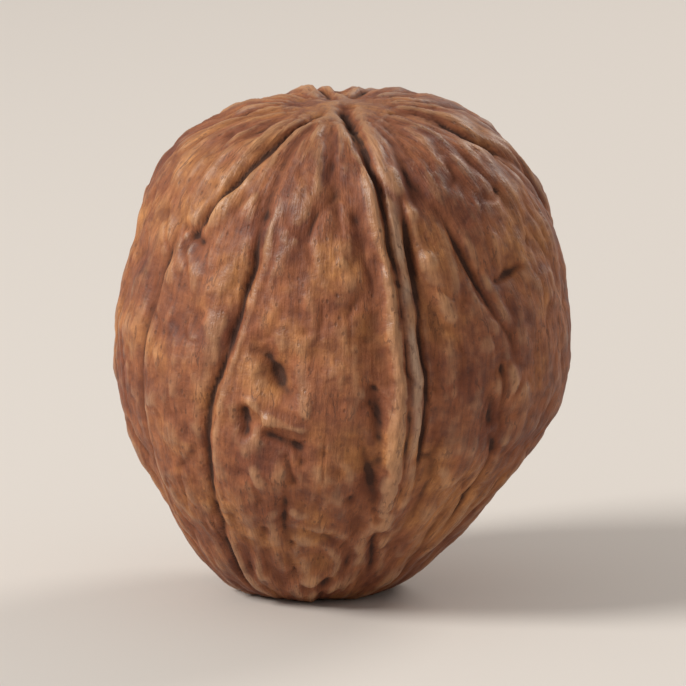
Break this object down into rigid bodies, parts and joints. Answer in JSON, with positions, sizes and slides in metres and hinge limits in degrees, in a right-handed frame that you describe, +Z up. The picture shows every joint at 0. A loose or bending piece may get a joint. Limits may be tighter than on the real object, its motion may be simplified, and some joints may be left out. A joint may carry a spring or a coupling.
{
  "type": "walnut",
  "caption": "Whole dried walnut in its shell, standing on the small flat of its stem end, with a seam ridge and furrowed cheeks.",
  "frame": {"origin": "middle of the small flat at the stem end, where the nut stands", "axes": "+Z up through the nut towards its tip, -Y towards the front, where the tip leans and one seam shows, +X to the right"},
  "size_m": [0.0352, 0.0351, 0.0388],
  "materials": {
    "shell": "dry washed walnut shell, satin, tan on the ridges and darker in the furrows"
  },
  "bodies": {
    "root": {"walnut": "shell"}
  },
  "joints": []
}
